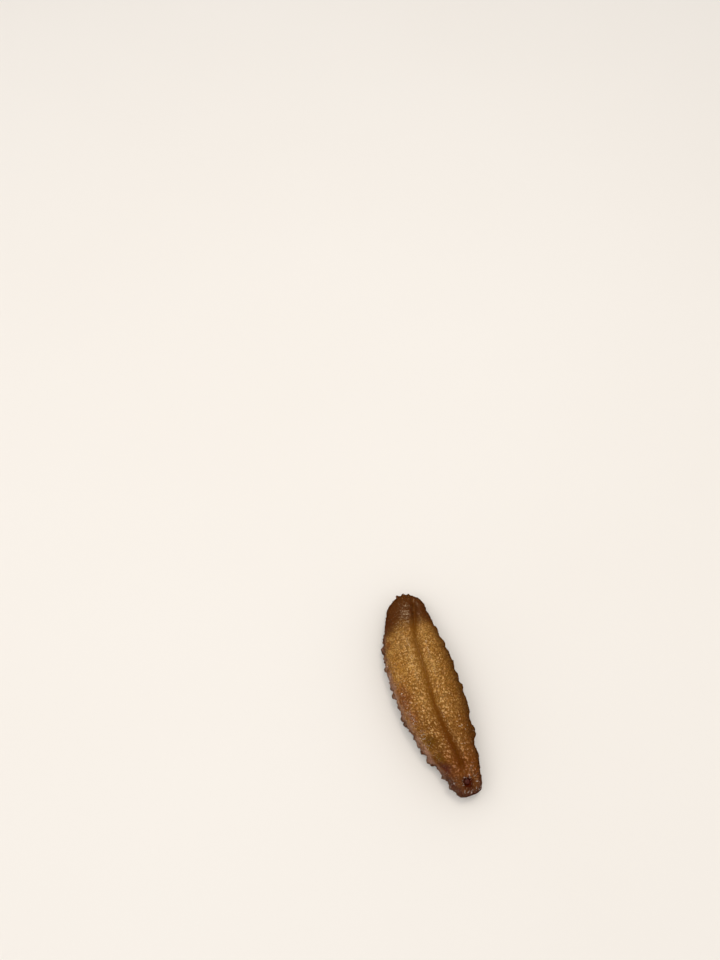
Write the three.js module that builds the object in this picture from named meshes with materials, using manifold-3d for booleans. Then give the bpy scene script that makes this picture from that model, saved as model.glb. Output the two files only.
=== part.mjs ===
// A dried and soaked sea cucumber lying on its back: a flattened spindle of a trunk with the belly
// turned up, a closed belly slit between two rounded lips, soft conical papillae in rows along both
// flanks and the back, the mouth with its drawn-in tentacles at one end and the vent at the other.
// Millimetres. +X points to the mouth end, +Y to the narrower lip and +Z up, and the animal rests
// on z = 0. Along the trunk, u runs from 0 at the vent tip to 1 at the mouth tip. Round the trunk,
// angles are in degrees from the +Y flank, with the belly at 90 and the back at 270.
import * as THREE from "three";
import { mergeVertices } from "three/addons/utils/BufferGeometryUtils.js";
import Module from "manifold-3d";

const wasm = await Module();
wasm.setup();

// Driving dimensions of the trunk. Each list holds [u, millimetres] and is joined by a smooth curve.
const LENGTH = 68;
const HALF_WIDTH = [
  [0, 5.2], [0.12, 7.7], [0.28, 10.3], [0.45, 11.1], [0.6, 10.65], [0.75, 8.6], [0.87, 6.3], [1, 4.0],
];
const HALF_HEIGHT = [
  [0, 3.9], [0.12, 5.4], [0.28, 7.4], [0.45, 8.3], [0.6, 8.2], [0.75, 7.2], [0.87, 6.0], [1, 4.3],
];
const MID_HEIGHT = [
  [0, 4.6], [0.12, 4.9], [0.28, 5.7], [0.45, 6.3], [0.6, 6.2], [0.75, 5.5], [0.87, 4.9], [1, 4.4],
];
const CENTRE_Y = [[0, 2.0], [0.1, 1.0], [0.25, -0.35], [0.5, -0.05], [0.75, 0.92], [0.9, 2.6], [1, 2.9]];
const VENT_CAP = 0.075;
const MOUTH_CAP = 0.055;
const VENT_CAP_POWER = 2;
const MOUTH_CAP_POWER = 3;
const SECTION_POWER = 2.25;

// The belly slit, closed, with a wide lip on the -Y side of it and a narrow one on the +Y side.
const SLIT_Y = [
  [0, 3.3], [0.15, 2.3], [0.27, 1.0], [0.4, 0.5], [0.56, -0.4], [0.66, -0.25], [0.8, 0.55], [1, -1.1],
];
const SLIT_DEPTH = [[0, 0.9], [0.1, 1.8], [0.3, 1.8], [0.5, 1.6], [0.7, 1.9], [0.82, 2.1], [1, 1.0]];
const WIDE_LIP = [[0, 1.2], [0.12, 1.4], [0.25, 2.6], [0.5, 3.8], [0.75, 3.2], [1, 2.0]];
const NARROW_LIP = [[0, 2.4], [0.12, 3.2], [0.3, 3.4], [0.5, 3.2], [0.75, 2.6], [1, 1.8]];
const SLIT_ROUNDING = 0.35;
const SLIT_START = 0.03;
const SLIT_END = 0.92;
const SLIT_FADE = 0.05;

// Folds across the flanks, which scallop both margins.
const FOLDS = [
  { side: 1, pitch: 5.3, depth: 0.35, wander: 1.5 },
  { side: -1, pitch: 3.9, depth: 0.3, wander: 1.3 },
];
const FOLD_WANDER_PITCH = 17;

// Facets of the trunk.
const STATIONS = 64;
const AROUND = 42;
const SLIT_CROWDING = 0.6;

// Papillae: one row for each entry. Heights and radii swell from the ends to the middle. The lone ones
// stand outside the rows.
const PAPILLA_ROWS = [
  { angle: 12, pitch: 5.3, start: 0.1, end: 0.93, radius: 1.5, height: 0.35, shift: 0.3 },
  { angle: -27, pitch: 3.9, start: 0.07, end: 0.95, radius: 1.0, height: 0.9, shift: 0.8 },
  { angle: -44, pitch: 4.1, start: 0.12, end: 0.9, radius: 1.2, height: 1.6, shift: 0.1 },
  { angle: 168, pitch: 3.7, start: 0.1, end: 0.93, radius: 0.95, height: 0.4, shift: 0.6 },
  { angle: 190, pitch: 4.4, start: 0.14, end: 0.95, radius: 1.15, height: 0.75, shift: 0.2 },
  { angle: 212, pitch: 4.1, start: 0.12, end: 0.9, radius: 1.2, height: 1.2, shift: 0.5 },
  { angle: 239, pitch: 4.6, start: 0.15, end: 0.88, radius: 1.5, height: 2.2, shift: 0.4 },
  { angle: 270, pitch: 4.9, start: 0.12, end: 0.92, radius: 1.6, height: 2.2, shift: 0.7 },
  { angle: 301, pitch: 4.6, start: 0.15, end: 0.88, radius: 1.5, height: 2.2, shift: 0.1 },
];
const LONE_PAPILLAE = [
  { u: 0.94, angle: 172, radius: 1.3, height: 1.0 },
  { u: 0.735, angle: 6, radius: 2.2, height: 1.1 },
];
const PAPILLA_SIDES = 6;
const PAPILLA_SINK = 0.6;
const PAPILLA_SHOULDER = { radius: 0.6, height: 0.5 };
const PAPILLA_VARY = { along: 0.4, degrees: 8, size: 0.45 };
const PAPILLA_SIZE_AT_TIPS = 0.6;
const PAPILLA_SEED = 41;

// Papillae within this many degrees of a flank's middle stand out more level than square to the skin.
const FLANK_REACH = 50;
const FLANK_RISE = 0.35;

// The bare back stays this far above the floor, and the papillae pressed under it end in flats.
const BACK_HEIGHT = 0.5;

// The mouth and the vent.
const MOUTH = { u: 0.95, angle: 92, tilt: 26, radius: 2.5, throat: 1.15, flare: 1.4, depth: 2.8 };
const ORAL_PAPILLAE = { count: 8, ring: 3.4, sink: 0.6, rise: 1.2, radius: 0.7, height: 0.4 };
const TENTACLES = { count: 8, ring: 0.5, lobe: 0.32, base: 0.8, baseHeight: 0.85, lobeHeight: 0.5 };
const VENT = { radius: 1.0, throat: 0.5, flare: 0.6, depth: 1.7, drop: 0.4 };
const ANAL_PAPILLAE = { count: 5, ring: 1.9, sink: 0.3, rise: 1.2, radius: 0.6, height: 0.8 };
const PORE_SIDES = 16;
const FLARE_STEPS = 4;

// Cuts between the named lengths, and the gap that touching pieces keep.
const CUTS = {
  vent_end: [0, 0.165],
  hind_trunk: [0.165, 0.38],
  mid_trunk: [0.38, 0.6],
  fore_trunk: [0.6, 0.82],
  oral_end: [0.82, 1],
};
const GAP = 0.3;

const SKIN = { color: 0x97672f, roughness: 0.35, metalness: 0 };
const END_SKIN = { color: 0x6a3d1c, roughness: 0.35, metalness: 0 };
const MOUTH_FLESH = { color: 0x4e2110, roughness: 0.3, metalness: 0 };

const radians = THREE.MathUtils.degToRad;
const clamp = THREE.MathUtils.clamp;
const alongX = (u) => (u - 0.5) * LENGTH;

// A smooth curve through a list of [place, value] pairs, read at a place.
function curve(pairs, at) {
  const last = pairs.length - 1;
  const slope = (i) => {
    const [low, high] = [pairs[Math.max(i - 1, 0)], pairs[Math.min(i + 1, last)]];
    return (high[1] - low[1]) / (high[0] - low[0]);
  };
  let i = 0;
  while (i < last - 1 && at > pairs[i + 1][0]) i += 1;
  const [[x0, y0], [x1, y1]] = [pairs[i], pairs[i + 1]];
  const step = x1 - x0;
  const t = clamp((at - x0) / step, 0, 1);
  const [t2, t3] = [t * t, t * t * t];
  return (
    (2 * t3 - 3 * t2 + 1) * y0 + (t3 - 2 * t2 + t) * step * slope(i) +
    (3 * t2 - 2 * t3) * y1 + (t3 - t2) * step * slope(i + 1)
  );
}

// A repeatable stream of numbers from 0 to 1.
function stream(seed) {
  let state = seed;
  return () => {
    state = (state * 16807) % 2147483647;
    return state / 2147483647;
  };
}

// How far the section has closed towards either tip: 1 along the trunk and 0 at the tips.
function tipClosing(u) {
  const cap = (fromTip, length, power) => {
    const near = 1 - Math.min(fromTip / length, 1);
    return Math.pow(1 - Math.pow(near, power), 1 / power);
  };
  return cap(u, VENT_CAP, VENT_CAP_POWER) * cap(1 - u, MOUTH_CAP, MOUTH_CAP_POWER);
}

// The depth of the slit at a sideways distance from its line: a soft crease between two rounded lips.
function slitDrop(u, distance) {
  const fade = clamp((u - SLIT_START) / SLIT_FADE, 0, 1) * clamp((SLIT_END - u) / SLIT_FADE, 0, 1);
  const width = curve(distance < 0 ? WIDE_LIP : NARROW_LIP, u);
  const away = Math.hypot(distance, SLIT_ROUNDING) - SLIT_ROUNDING;
  const reach = 1 - Math.min(away / width, 1);
  return fade * curve(SLIT_DEPTH, u) * reach * reach;
}

// How far the folds draw a flank in at a place along the trunk.
function foldDepth(u, side) {
  const { pitch, depth, wander } = FOLDS.find((fold) => fold.side === side);
  const x = alongX(u);
  const phase = (2 * Math.PI * x) / pitch + wander * Math.sin((2 * Math.PI * x) / FOLD_WANDER_PITCH);
  return depth * Math.pow(Math.cos(phase / 2), 4);
}

// A point on the bare trunk, without its papillae.
function trunkPoint(u, degrees) {
  const closing = tipClosing(u);
  const c = Math.cos(radians(degrees));
  const s = Math.sin(radians(degrees));
  const rounded = (v) => Math.sign(v) * Math.pow(Math.abs(v), 2 / SECTION_POWER);
  const folded = closing * foldDepth(u, c < 0 ? -1 : 1) * c * c;
  const y = (curve(HALF_WIDTH, u) * closing - folded) * rounded(c);
  let z = curve(MID_HEIGHT, u) + curve(HALF_HEIGHT, u) * closing * rounded(s);
  if (s > 0) z -= closing * s * slitDrop(u, y - curve(SLIT_Y, u) * closing);
  return new THREE.Vector3(alongX(u), y + curve(CENTRE_Y, u), Math.max(z, BACK_HEIGHT));
}

// The direction that points out of the trunk there.
function trunkNormal(u, degrees) {
  const [du, da] = [0.004, 2];
  const along = trunkPoint(u + du, degrees).sub(trunkPoint(u - du, degrees));
  const round = trunkPoint(u, degrees + da).sub(trunkPoint(u, degrees - da));
  return round.cross(along).normalize();
}

// A closed three.js geometry as a solid. Triangles with no area, as at a lathe's poles, are dropped.
function solid(geometry) {
  geometry.deleteAttribute("normal");
  geometry.deleteAttribute("uv");
  const merged = mergeVertices(geometry, 1e-4);
  const index = merged.index.array;
  const kept = [];
  for (let i = 0; i < index.length; i += 3) {
    const [a, b, c] = [index[i], index[i + 1], index[i + 2]];
    if (a !== b && b !== c && c !== a) kept.push(a, b, c);
  }
  const vertProperties = new Float32Array(merged.attributes.position.array);
  return new wasm.Manifold(new wasm.Mesh({ numProp: 3, vertProperties, triVerts: new Uint32Array(kept) }));
}

// A solid's surface as a three.js geometry.
function surface(made) {
  const { numProp, numVert, vertProperties, triVerts } = made.getMesh();
  const positions = new Float32Array(numVert * 3);
  for (let i = 0; i < numVert; i += 1) {
    positions.set(vertProperties.subarray(i * numProp, i * numProp + 3), i * 3);
  }
  const geometry = new THREE.BufferGeometry();
  geometry.setAttribute("position", new THREE.BufferAttribute(positions, 3));
  geometry.setIndex(new THREE.BufferAttribute(new Uint32Array(triVerts), 1));
  geometry.computeVertexNormals();
  return geometry;
}

const largest = (made) => made.decompose().reduce((a, b) => (b.volume() > a.volume() ? b : a));

// The trunk: rings of points from tip to tip, crowded at the tips and beside the slit.
function trunk() {
  const positions = [];
  const index = [];
  const tip = (u) => {
    positions.push(alongX(u), curve(CENTRE_Y, u), curve(MID_HEIGHT, u));
    return positions.length / 3 - 1;
  };
  const ventTip = tip(0);
  for (let i = 1; i < STATIONS; i += 1) {
    const even = i / STATIONS;
    const u = 0.35 * (0.5 - 0.5 * Math.cos(Math.PI * even)) + 0.65 * even;
    const slitAngle = THREE.MathUtils.radToDeg(Math.acos(curve(SLIT_Y, u) / curve(HALF_WIDTH, u)));
    for (let j = 0; j < AROUND; j += 1) {
      const t = j / AROUND;
      const turn = t - (SLIT_CROWDING * Math.sin(2 * Math.PI * t)) / (2 * Math.PI);
      positions.push(...trunkPoint(u, slitAngle + 360 * turn).toArray());
    }
  }
  const mouthTip = tip(1);
  const at = (ring, j) => 1 + ring * AROUND + (j % AROUND);
  const lastRing = STATIONS - 2;
  for (let j = 0; j < AROUND; j += 1) {
    index.push(ventTip, at(0, j + 1), at(0, j), mouthTip, at(lastRing, j), at(lastRing, j + 1));
    for (let ring = 0; ring < lastRing; ring += 1) {
      index.push(at(ring, j), at(ring, j + 1), at(ring + 1, j));
      index.push(at(ring + 1, j), at(ring, j + 1), at(ring + 1, j + 1));
    }
  }
  const geometry = new THREE.BufferGeometry();
  geometry.setAttribute("position", new THREE.Float32BufferAttribute(positions, 3));
  geometry.setIndex(index);
  return solid(geometry);
}

// Turns a shape made round +Y so that it stands on a point and points along a direction.
function stand(geometry, point, direction) {
  const turn = new THREE.Quaternion().setFromUnitVectors(new THREE.Vector3(0, 1, 0), direction);
  return geometry.applyQuaternion(turn).translate(...point.toArray());
}

// One papilla: a soft cone with a rounded shoulder, its root sunk in the skin.
function papilla(point, direction, radius, height) {
  const shoulder = [PAPILLA_SHOULDER.radius * radius, PAPILLA_SHOULDER.height * height];
  const profile = [[0, -PAPILLA_SINK], [radius, -PAPILLA_SINK], shoulder, [0, height]];
  const points = profile.map(([r, y]) => new THREE.Vector2(r, y));
  return solid(stand(new THREE.LatheGeometry(points, PAPILLA_SIDES), point, direction));
}

// A papilla that grows out of the trunk at a place. On the flanks it points more level than the skin.
function trunkPapilla(u, degrees, radius, height) {
  const direction = trunkNormal(u, degrees);
  if (Math.abs(Math.cos(radians(degrees))) > Math.cos(radians(FLANK_REACH))) direction.z *= FLANK_RISE;
  return papilla(trunkPoint(u, degrees), direction.normalize(), radius, height);
}

// All papillae of the rows, each a little off its even place and size, and the lone ones.
function flankPapillae() {
  const draw = stream(PAPILLA_SEED);
  const either = (most) => most * (2 * draw() - 1);
  const made = LONE_PAPILLAE.map(({ u, angle, radius, height }) => trunkPapilla(u, angle, radius, height));
  for (const row of PAPILLA_ROWS) {
    const step = row.pitch / LENGTH;
    for (let u = row.start + row.shift * step; u < row.end; u += step) {
      const place = u + either(PAPILLA_VARY.along * step);
      const degrees = row.angle + either(PAPILLA_VARY.degrees);
      const swell = THREE.MathUtils.lerp(PAPILLA_SIZE_AT_TIPS, 1, Math.sin(Math.PI * place));
      const size = swell * (1 + either(PAPILLA_VARY.size));
      made.push(trunkPapilla(place, degrees, row.radius * size, row.height * size));
    }
  }
  return made;
}

// A pore's place: where its axis leaves the trunk, and the way it points out.
function mouthAxis() {
  const point = trunkPoint(MOUTH.u, MOUTH.angle);
  const direction = new THREE.Vector3(Math.sin(radians(MOUTH.tilt)), 0, Math.cos(radians(MOUTH.tilt)));
  return { point, direction };
}

function ventAxis() {
  const point = new THREE.Vector3(alongX(0), curve(CENTRE_Y, 0), curve(MID_HEIGHT, 0) - VENT.drop);
  return { point, direction: new THREE.Vector3(-1, 0, 0) };
}

// A pore: a straight throat that flares in a quarter round as it leaves the skin.
function pore({ point, direction }, { radius, throat, flare, depth }) {
  const profile = [[0, -depth], [throat, -depth]];
  for (let i = 0; i <= FLARE_STEPS; i += 1) {
    const turn = (Math.PI / 2) * (i / FLARE_STEPS);
    profile.push([radius - (radius - throat) * Math.cos(turn), flare * (Math.sin(turn) - 1)]);
  }
  profile.push([2 * radius, radius], [0, radius]);
  const points = profile.map(([r, y]) => new THREE.Vector2(r, y));
  return solid(stand(new THREE.LatheGeometry(points, PORE_SIDES), point, direction));
}

// Small papillae in a ring about a pore's axis, leaning outwards.
function ringPapillae({ point, direction }, { count, ring, sink, rise, radius, height }) {
  const draw = stream(PAPILLA_SEED + count);
  const side = new THREE.Vector3(0, 1, 0).cross(direction).normalize();
  const across = direction.clone().cross(side);
  return Array.from({ length: count }, (_, i) => {
    const angle = (2 * Math.PI * (i + 0.3 * draw())) / count;
    const outward = side.clone().multiplyScalar(Math.cos(angle)).addScaledVector(across, Math.sin(angle));
    const root = point.clone().addScaledVector(outward, ring).addScaledVector(direction, -sink);
    const leaning = outward.addScaledVector(direction, rise).normalize();
    return papilla(root, leaning, radius, height * (0.8 + 0.4 * draw()));
  });
}

// The drawn-in tentacles: a ring of rounded tips about one more, on a short stalk in the mouth.
function tentacles({ point, direction }) {
  const { count, ring, lobe, base, baseHeight, lobeHeight } = TENTACLES;
  const stalk = new THREE.CylinderGeometry(base, base, baseHeight, PORE_SIDES);
  stalk.translate(0, baseHeight / 2, 0);
  const tips = Array.from({ length: count + 1 }, (_, i) => {
    const [angle, out] = [(2 * Math.PI * i) / count, i < count ? ring : 0];
    const tip = new THREE.SphereGeometry(lobe, 8, 6).scale(1, lobeHeight / lobe, 1);
    return tip.translate(out * Math.cos(angle), baseHeight, out * Math.sin(angle));
  });
  const root = point.clone().addScaledVector(direction, GAP - MOUTH.depth);
  return wasm.Manifold.union([stalk, ...tips].map((shape) => solid(stand(shape, root, direction))));
}

// The slab of space between two places along the trunk, short of each cut by half the gap.
function slab([low, high]) {
  const from = low > 0 ? alongX(low) + GAP / 2 : -LENGTH;
  const to = high < 1 ? alongX(high) - GAP / 2 : LENGTH;
  return solid(new THREE.BoxGeometry(to - from, LENGTH, LENGTH).translate((from + to) / 2, 0, 0));
}

function aboveFloor(made) {
  const room = new THREE.BoxGeometry(3 * LENGTH, LENGTH, LENGTH).translate(0, 0, LENGTH / 2);
  return made.intersect(solid(room));
}

// The whole skin as one solid, before it is divided.
function wholeBody() {
  const [mouth, vent] = [mouthAxis(), ventAxis()];
  const raised = [
    ...flankPapillae(),
    ...ringPapillae(mouth, ORAL_PAPILLAE),
    ...ringPapillae(vent, ANAL_PAPILLAE),
  ];
  const outside = trunk().add(aboveFloor(wasm.Manifold.union(raised)));
  return outside.subtract(pore(mouth, MOUTH)).subtract(pore(vent, VENT));
}

function named(name, made, look) {
  const mesh = new THREE.Mesh(surface(made), new THREE.MeshStandardMaterial(look));
  mesh.name = name;
  return mesh;
}

const seaCucumber = new THREE.Group();
const body = wholeBody();
for (const [name, span] of Object.entries(CUTS)) {
  const look = name === "oral_end" || name === "vent_end" ? END_SKIN : SKIN;
  seaCucumber.add(named(name, largest(body.intersect(slab(span))), look));
}
seaCucumber.add(named("tentacle_ring", largest(tentacles(mouthAxis())), MOUTH_FLESH));

// The origin goes under the middle of the whole.
const middle = new THREE.Box3().setFromObject(seaCucumber).getCenter(new THREE.Vector3());
seaCucumber.position.set(-middle.x, -middle.y, 0);

export default seaCucumber;
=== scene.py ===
# A soaked sea cucumber on its back, as a still model on a pale floor: one wet, granular skin with its
# papillae, belly slit, mouth and vent, and the drawn-in tentacles. Shapes are worked out in
# millimetres, in the frame that the trunk was drawn in.
import math

import bpy
import numpy as np
from mathutils import Matrix, Vector, noise


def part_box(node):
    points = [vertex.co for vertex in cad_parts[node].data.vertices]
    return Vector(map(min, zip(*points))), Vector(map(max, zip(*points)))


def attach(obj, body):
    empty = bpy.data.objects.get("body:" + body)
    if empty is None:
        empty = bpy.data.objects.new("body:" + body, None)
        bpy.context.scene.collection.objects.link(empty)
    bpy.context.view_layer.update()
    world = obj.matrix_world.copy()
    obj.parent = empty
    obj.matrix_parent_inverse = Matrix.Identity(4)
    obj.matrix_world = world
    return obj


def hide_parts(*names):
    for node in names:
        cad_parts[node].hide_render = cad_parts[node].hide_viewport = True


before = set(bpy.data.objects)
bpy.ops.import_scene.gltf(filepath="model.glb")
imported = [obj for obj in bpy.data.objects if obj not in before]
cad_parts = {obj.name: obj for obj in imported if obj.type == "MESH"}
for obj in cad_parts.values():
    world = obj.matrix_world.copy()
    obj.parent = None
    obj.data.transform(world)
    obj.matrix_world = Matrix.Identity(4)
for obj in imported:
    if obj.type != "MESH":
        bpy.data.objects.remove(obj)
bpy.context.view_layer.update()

MM = 0.001
FLESH = ("vent_end", "hind_trunk", "mid_trunk", "fore_trunk", "oral_end")

# The trunk's driving dimensions, as the solids have them: [u, millimetres], with u from 0 at the vent
# tip to 1 at the mouth tip. Angles go round from the +Y flank, with the belly at 90 degrees.
LENGTH = 68
HALF_WIDTH = [
    [0, 5.2], [0.12, 7.7], [0.28, 10.3], [0.45, 11.1], [0.6, 10.65], [0.75, 8.6], [0.87, 6.3], [1, 4.0],
]
HALF_HEIGHT = [
    [0, 3.9], [0.12, 5.4], [0.28, 7.4], [0.45, 8.3], [0.6, 8.2], [0.75, 7.2], [0.87, 6.0], [1, 4.3],
]
MID_HEIGHT = [
    [0, 4.6], [0.12, 4.9], [0.28, 5.7], [0.45, 6.3], [0.6, 6.2], [0.75, 5.5], [0.87, 4.9], [1, 4.4],
]
CENTRE_Y = [[0, 2.0], [0.1, 1.0], [0.25, -0.35], [0.5, -0.05], [0.75, 0.92], [0.9, 2.6], [1, 2.9]]
VENT_CAP = 0.075
MOUTH_CAP = 0.055
VENT_CAP_POWER = 2
MOUTH_CAP_POWER = 3
SECTION_POWER = 2.25
BACK_HEIGHT = 0.5

# The closed belly slit, with the wide lip on the -Y side of it and the narrow one on the +Y side.
SLIT_Y = [
    [0, 3.3], [0.15, 2.3], [0.27, 1.0], [0.4, 0.5], [0.56, -0.4], [0.66, -0.25], [0.8, 0.55], [1, -1.1],
]
SLIT_DEPTH = [[0, 0.9], [0.1, 1.8], [0.3, 1.8], [0.5, 1.6], [0.7, 1.9], [0.82, 2.1], [1, 1.0]]
WIDE_LIP = [[0, 1.2], [0.12, 1.4], [0.25, 2.6], [0.5, 3.8], [0.75, 3.2], [1, 2.0]]
NARROW_LIP = [[0, 2.4], [0.12, 3.2], [0.3, 3.4], [0.5, 3.2], [0.75, 2.6], [1, 1.8]]
SLIT_ROUNDING = 0.35
SLIT_START = 0.03
SLIT_END = 0.92
SLIT_FADE = 0.05

# Folds across the flanks: pitch, depth and how far the phase wanders, on the +Y and the -Y side.
FOLDS = {1: (5.3, 0.35, 1.5), -1: (3.9, 0.3, 1.3)}
FOLD_WANDER_PITCH = 17

# The papillae of the solids, row by row: angle, pitch, start, end, radius, height, shift.
PAPILLA_ROWS = [
    (12, 5.3, 0.1, 0.93, 1.5, 0.35, 0.3),
    (-27, 3.9, 0.07, 0.95, 1.0, 0.9, 0.8),
    (-44, 4.1, 0.12, 0.9, 1.2, 1.6, 0.1),
    (168, 3.7, 0.1, 0.93, 0.95, 0.4, 0.6),
    (190, 4.4, 0.14, 0.95, 1.15, 0.75, 0.2),
    (212, 4.1, 0.12, 0.9, 1.2, 1.2, 0.5),
    (239, 4.6, 0.15, 0.88, 1.5, 2.2, 0.4),
    (270, 4.9, 0.12, 0.92, 1.6, 2.2, 0.7),
    (301, 4.6, 0.15, 0.88, 1.5, 2.2, 0.1),
]
# A papilla that stands by itself and a swelling of the margin: u, angle, radius and height.
LONE_PAPILLAE = [(0.94, 172, 1.3, 1.0)]
SWELLINGS = [(0.735, 6, 2.2, 1.1)]
PAPILLA_VARY = {"along": 0.4, "degrees": 8, "size": 0.45}
PAPILLA_SIZE_AT_TIPS = 0.6
PAPILLA_SEED = 41
FLANK_REACH = 50
FLANK_RISE = 0.35
# A papilla widens this much as it runs into the skin, more so round a pore.
PAPILLA_SPREAD = 1.1
RING_SPREAD = 1.5
CONE_POWER = 1.8

# The mouth, the vent and what stands round them and in them.
MOUTH = {"u": 0.95, "angle": 92, "tilt": 26, "radius": 2.5, "throat": 1.15, "flare": 1.4, "depth": 2.8}
VENT = {"radius": 1.0, "throat": 0.5, "flare": 0.6, "depth": 1.7, "drop": 0.4}
ORAL_PAPILLAE = {"count": 8, "ring": 3.4, "sink": 0.6, "rise": 1.2, "radius": 0.7, "height": 0.4}
ANAL_PAPILLAE = {"count": 5, "ring": 1.9, "sink": 0.3, "rise": 1.2, "radius": 0.6, "height": 0.8}
TENTACLES = {
    "count": 8, "ring": 0.5, "lobe": 0.32, "lobe_height": 0.5, "base": 0.8, "base_height": 0.85,
}
TENTACLE_SIDES = 24
TENTACLE_LEVELS = 14
TENTACLE_SWELL = 1.2
GAP = 0.3
FORE_CUT = 0.6

# The rings of the skin, and the points on each, which crowd beside the slit.
ROWS, AROUND = ((720, 600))
SLIT_CROWDING = 0.3

# The skin's relief. A shift moves a noise, so that no two of them agree.
LUMPS = {"size": 7.0, "height": 0.25, "shift": 0.0}
SMALL_LUMPS = {"size": 2.6, "height": 0.1, "shift": 11.3}
WRINKLES = {"size": (0.8, 4.0, 4.0), "belly": 0.05, "back": 0.16, "shift": 31.7}
END_FOLDS = {"count": 26, "start": 0.945, "fade": 0.03, "height": 0.09}
END_WANDER = {"size": 5.0, "radians": 3, "shift": 3.3}
FACE_FOLDS = {"size": 1.6, "height": 0.35, "shift": 41.9}
PUCKERS = {
    "mouth": {"count": 13, "inner": 2.9, "outer": 8.0, "height": 0.13},
    "vent": {"count": 9, "inner": 1.2, "outer": 3.6, "height": 0.1},
}
WARTS = {
    "count": 420, "seed": 7, "u": (0.04, 0.97), "degrees": (158, 345),
    "radius": (0.3, 0.6), "height": (0.15, 0.4),
}

# The grains: their cell along and across the body, and how far they stray from an even grid.
GRAINS = {"cell": (0.8, 0.75), "radius": 0.43, "height": 0.16, "seed": 3}
FINE_GRAINS = {"cell": (0.45, 0.42), "radius": 0.26, "height": 0.05, "seed": 5}
GRAIN_STRAY = 0.8
GRAIN_LEAST = 0.3
GRAIN_TABLE = (97, 101)
GRAIN_WARP = {"size": 0.8, "reach": 0.35, "shift_along": 5.1, "shift_across": 17.9}

# Where the relief fades: shares of the length from a tip, millimetres from the line under the back
# where the rings close, and the share of the relief that the slit loses.
TIP_CALM = 0.02
FACE_CALM = 0.002
FACE_START = 0.05
CLOSING_CALM = 0.8
SLIT_CALM = 0.6

# The skin's pores are this much narrower than the solids' throats, and lose their round shape.
SNUG = 0.16
PORE_RIM = 1.3
PORE_STEPS = 9
PORE_RAGGED = ((0.12, 2, 0), (0.06, 3, 1), (0.04, 7, 0))
# How far the pores' dark red reaches: partly the flesh's colour, partly painted shade in the dimple.
PORE_RED_AND_SHADE_REACH = 0.78

# How far the painted shade of the crease reaches from the slit, on the wide lip and on the narrow one.
CREASE_REACH = {-1: 1.8, 1: 0.9}
# How far the seam's narrow painted shade reaches from the slit's line.
SEAM_SHADE_REACH = 0.5

# Patches of colour: u and degrees of the middle, the reach along and round, and the strength.
PATCHES = {
    "gold": [(0.4, 122, 0.09, 22, 1.0), (0.3, 55, 0.12, 14, 0.6)],
    # A painted cast shadow towards the vent end.
    "painted_vent_shade": [(0.18, 125, 0.09, 34, 1.0)],
    "olive": [(0.735, 129, 0.045, 20, 1.0), (0.815, 132, 0.035, 14, 1.0), (0.5, 30, 0.1, 14, 0.4)],
    "rust": [(0.53, 147, 0.08, 22, 1.0), (0.6, 142, 0.045, 16, 1.0), (0.25, 144, 0.03, 8, 0.8)],
    "wine": [(0.868, 138, 0.035, 14, 1.0)],
    "dark": [(0.13, 155, 0.06, 20, 1.0), (0.22, 168, 0.08, 14, 1.0), (0.93, 156, 0.07, 30, 1.0)],
}


def radians(degrees):
    return np.radians(degrees)


def smooth(low, high, value):
    t = np.clip((value - low) / (high - low), 0, 1)
    return t * t * (3 - 2 * t)


def along_x(u):
    return (u - 0.5) * LENGTH


def curve(pairs, at):
    """A smooth curve through a list of [place, value] pairs, read at an array of places."""
    places, values = np.array(pairs, float).T
    last = len(places) - 1
    low = np.maximum(np.arange(last + 1) - 1, 0)
    high = np.minimum(np.arange(last + 1) + 1, last)
    slope = (values[high] - values[low]) / (places[high] - places[low])
    i = np.clip(np.searchsorted(places, at, side="left") - 1, 0, last - 1)
    step = places[i + 1] - places[i]
    t = np.clip((at - places[i]) / step, 0, 1)
    t2, t3 = t * t, t * t * t
    start = (2 * t3 - 3 * t2 + 1) * values[i] + (t3 - 2 * t2 + t) * step * slope[i]
    return start + (3 * t2 - 2 * t3) * values[i + 1] + (t3 - t2) * step * slope[i + 1]


def stream(seed):
    """A repeatable stream of numbers from 0 to 1, the same one as the solids use."""
    state = seed
    while True:
        state = (state * 16807) % 2147483647
        yield state / 2147483647


def cap(from_tip, length, power):
    """How far a rounded end has widened at a share of the length from its tip."""
    near = 1 - np.minimum(from_tip / length, 1)
    return (1 - near**power) ** (1 / power)


def tip_closing(u):
    """How far the section has closed towards either tip: 1 along the trunk and 0 at the tips."""
    return cap(u, VENT_CAP, VENT_CAP_POWER) * cap(1 - u, MOUTH_CAP, MOUTH_CAP_POWER)


def slit_fade(u):
    return np.clip((u - SLIT_START) / SLIT_FADE, 0, 1) * np.clip((SLIT_END - u) / SLIT_FADE, 0, 1)


def slit_drop(u, distance):
    """The depth of the slit at a sideways distance from its line."""
    width = np.where(distance < 0, curve(WIDE_LIP, u), curve(NARROW_LIP, u))
    away = np.hypot(distance, SLIT_ROUNDING) - SLIT_ROUNDING
    reach = 1 - np.minimum(away / width, 1)
    return slit_fade(u) * curve(SLIT_DEPTH, u) * reach**2


def lip_share(u, distance):
    """How far a place is from the slit (0) to the edge of the narrow lip (1) or the wide one (-1)."""
    lip = curve(HALF_WIDTH, u) - np.sign(distance) * curve(SLIT_Y, u)
    return distance / np.maximum(lip * tip_closing(u), 0.5)


def fold_depth(u, side):
    """How far the folds draw a flank in at a place along the trunk."""
    pitch, depth, wander = FOLDS[side]
    x = along_x(u)
    phase = 2 * np.pi * x / pitch + wander * np.sin(2 * np.pi * x / FOLD_WANDER_PITCH)
    return depth * np.cos(phase / 2) ** 4


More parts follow.
